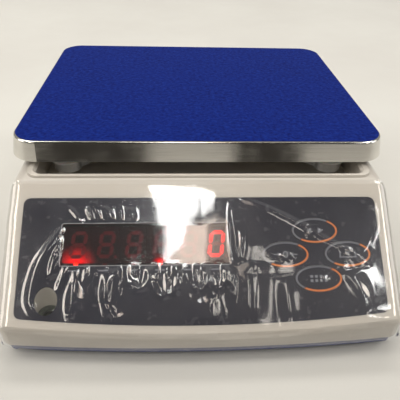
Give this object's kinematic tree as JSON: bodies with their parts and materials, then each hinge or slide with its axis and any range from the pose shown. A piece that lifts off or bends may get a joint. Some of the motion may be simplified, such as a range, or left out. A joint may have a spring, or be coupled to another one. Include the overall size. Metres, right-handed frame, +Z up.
{
  "type": "counting scale",
  "caption": "Bench counting scale: flat steel pan on a load cell, low case with a sloping front panel, red display, oval keys, bubble level and levelling feet.",
  "frame": {"origin": "on the table, under the middle of the overall width and depth", "axes": "+Z up, +Y to the back of the scale, +X to the right of someone facing the keys"},
  "size_m": [0.294, 0.3394, 0.115],
  "materials": {
    "lower_case": "fine satin texture",
    "upper_case": "smooth moulded, half gloss",
    "front_panel": "smooth film",
    "display_window": "clear red filter",
    "display_board": "solder mask",
    "display_digits": "satin",
    "indicator_leds": "clear red",
    "key_switches": "satin",
    "display_board_screws": "zinc plated",
    "level_cup": "smooth",
    "level_liquid": "clear green",
    "level_lens": "clear",
    "base_plate": "plated sheet",
    "base_plate_screws": "zinc plated",
    "cell_pedestal": "machined",
    "load_cell": "machined",
    "cell_base_bolts": "black oxide",
    "overload_stop": "black oxide",
    "corner_stops": "black oxide",
    "battery": "satin",
    "battery_strap": "plated sheet",
    "battery_door": "fine satin texture",
    "battery_door_screw": "zinc plated",
    "main_board": "solder mask",
    "board_parts": "satin",
    "inner_screws": "zinc plated",
    "transformer": "lacquered steel",
    "power_inlet": "satin",
    "inlet_screws": "zinc plated",
    "switch_body": "satin",
    "case_screws": "zinc plated",
    "foot_inserts": "machined",
    "cell_cable": "soft sheath",
    "battery_leads": "soft sheath",
    "display_ribbon": "soft sheath",
    "mains_wires": "soft sheath",
    "clear_cover": "thin clear film",
    "cell_spacer": "plated sheet",
    "spider": "die cast",
    "spider_bolts": "black oxide",
    "pan_cups": "translucent silicone",
    "weighing_pan": "brushed",
    "pan_film": "textured film",
    "key_zero": "smooth film",
    "key_tare": "smooth film",
    "key_mode": "smooth film",
    "key_count": "smooth film",
    "power_rocker": "satin",
    "foot_pad_fl": "matt",
    "foot_stud_fl": "zinc plated",
    "foot_pad_fr": "matt",
    "foot_stud_fr": "zinc plated",
    "foot_pad_bl": "matt",
    "foot_stud_bl": "zinc plated",
    "foot_pad_br": "matt",
    "foot_stud_br": "zinc plated"
  },
  "bodies": {
    "base": {"lower_case": "lower_case", "upper_case": "upper_case", "front_panel": "front_panel", "display_window": "display_window", "display_board": "display_board", "display_digits": "display_digits", "indicator_leds": "indicator_leds", "key_switches": "key_switches", "display_board_screws": "display_board_screws", "level_cup": "level_cup", "level_liquid": "level_liquid", "level_lens": "level_lens", "base_plate": "base_plate", "base_plate_screws": "base_plate_screws", "cell_pedestal": "cell_pedestal", "load_cell": "load_cell", "cell_base_bolts": "cell_base_bolts", "overload_stop": "overload_stop", "corner_stops": "corner_stops", "battery": "battery", "battery_strap": "battery_strap", "battery_door": "battery_door", "battery_door_screw": "battery_door_screw", "main_board": "main_board", "board_parts": "board_parts", "inner_screws": "inner_screws", "transformer": "transformer", "power_inlet": "power_inlet", "inlet_screws": "inlet_screws", "switch_body": "switch_body", "case_screws": "case_screws", "foot_inserts": "foot_inserts", "cell_cable": "cell_cable", "battery_leads": "battery_leads", "display_ribbon": "display_ribbon", "mains_wires": "mains_wires", "clear_cover": "clear_cover"},
    "platform": {"cell_spacer": "cell_spacer", "spider": "spider", "spider_bolts": "spider_bolts", "pan_cups": "pan_cups"},
    "pan": {"weighing_pan": "weighing_pan", "pan_film": "pan_film"},
    "zero_key": {"key_zero": "key_zero"},
    "tare_key": {"key_tare": "key_tare"},
    "mode_key": {"key_mode": "key_mode"},
    "count_key": {"key_count": "key_count"},
    "rocker": {"power_rocker": "power_rocker"},
    "pad_fl": {"foot_pad_fl": "foot_pad_fl"},
    "stud_fl": {"foot_stud_fl": "foot_stud_fl"},
    "pad_fr": {"foot_pad_fr": "foot_pad_fr"},
    "stud_fr": {"foot_stud_fr": "foot_stud_fr"},
    "pad_bl": {"foot_pad_bl": "foot_pad_bl"},
    "stud_bl": {"foot_stud_bl": "foot_stud_bl"},
    "pad_br": {"foot_pad_br": "foot_pad_br"},
    "stud_br": {"foot_stud_br": "foot_stud_br"}
  },
  "joints": [
    {"name": "platform_travel", "type": "slide", "parent": "base", "child": "platform", "axis": [0, 0, -1], "range_m": [0, 0.0005], "stiffness_N_per_m": 40000, "springref_m": -0.0005, "deforming": ["load_cell"]},
    {"name": "pan_lift", "type": "slide", "parent": "platform", "child": "pan", "axis": [0, 0, 1], "range_m": [0, 0.06]},
    {"name": "zero_key_press", "type": "slide", "parent": "base", "child": "zero_key", "axis": [0, 0.6088, -0.7934], "range_m": [0, 0.0004], "stiffness_N_per_m": 800, "springref_m": -0.0003},
    {"name": "tare_key_press", "type": "slide", "parent": "base", "child": "tare_key", "axis": [0, 0.6088, -0.7934], "range_m": [0, 0.0004], "stiffness_N_per_m": 800, "springref_m": -0.0003},
    {"name": "mode_key_press", "type": "slide", "parent": "base", "child": "mode_key", "axis": [0, 0.6088, -0.7934], "range_m": [0, 0.0004], "stiffness_N_per_m": 800, "springref_m": -0.0003},
    {"name": "count_key_press", "type": "slide", "parent": "base", "child": "count_key", "axis": [0, 0.6088, -0.7934], "range_m": [0, 0.0004], "stiffness_N_per_m": 800, "springref_m": -0.0003},
    {"name": "rocker_tilt", "type": "hinge", "parent": "base", "child": "rocker", "pos_m": [0.04, 0.159, 0.04], "axis": [1, 0, 0], "range_deg": [-18, 0]},
    {"name": "foot_fl_height", "type": "slide", "parent": "base", "child": "pad_fl", "axis": [0, 0, -1], "range_m": [0, 0.0081]},
    {"name": "foot_fl_turn", "type": "hinge", "parent": "pad_fl", "child": "stud_fl", "pos_m": [-0.118, -0.121, 0], "axis": [0, 0, -1], "range_deg": [0, 2304]},
    {"name": "foot_fr_height", "type": "slide", "parent": "base", "child": "pad_fr", "axis": [0, 0, -1], "range_m": [0, 0.0081]},
    {"name": "foot_fr_turn", "type": "hinge", "parent": "pad_fr", "child": "stud_fr", "pos_m": [0.118, -0.121, 0], "axis": [0, 0, -1], "range_deg": [0, 2304]},
    {"name": "foot_bl_height", "type": "slide", "parent": "base", "child": "pad_bl", "axis": [0, 0, -1], "range_m": [0, 0.0081]},
    {"name": "foot_bl_turn", "type": "hinge", "parent": "pad_bl", "child": "stud_bl", "pos_m": [-0.118, 0.139, 0], "axis": [0, 0, -1], "range_deg": [0, 2304]},
    {"name": "foot_br_height", "type": "slide", "parent": "base", "child": "pad_br", "axis": [0, 0, -1], "range_m": [0, 0.0081]},
    {"name": "foot_br_turn", "type": "hinge", "parent": "pad_br", "child": "stud_br", "pos_m": [0.118, 0.139, 0], "axis": [0, 0, -1], "range_deg": [0, 2304]}
  ],
  "couplings": [
    {"joint": "foot_fl_height", "follows": "foot_fl_turn", "m_per_rad": 0.00019894},
    {"joint": "foot_fr_height", "follows": "foot_fr_turn", "m_per_rad": 0.00019894},
    {"joint": "foot_bl_height", "follows": "foot_bl_turn", "m_per_rad": 0.00019894},
    {"joint": "foot_br_height", "follows": "foot_br_turn", "m_per_rad": 0.00019894}
  ]
}
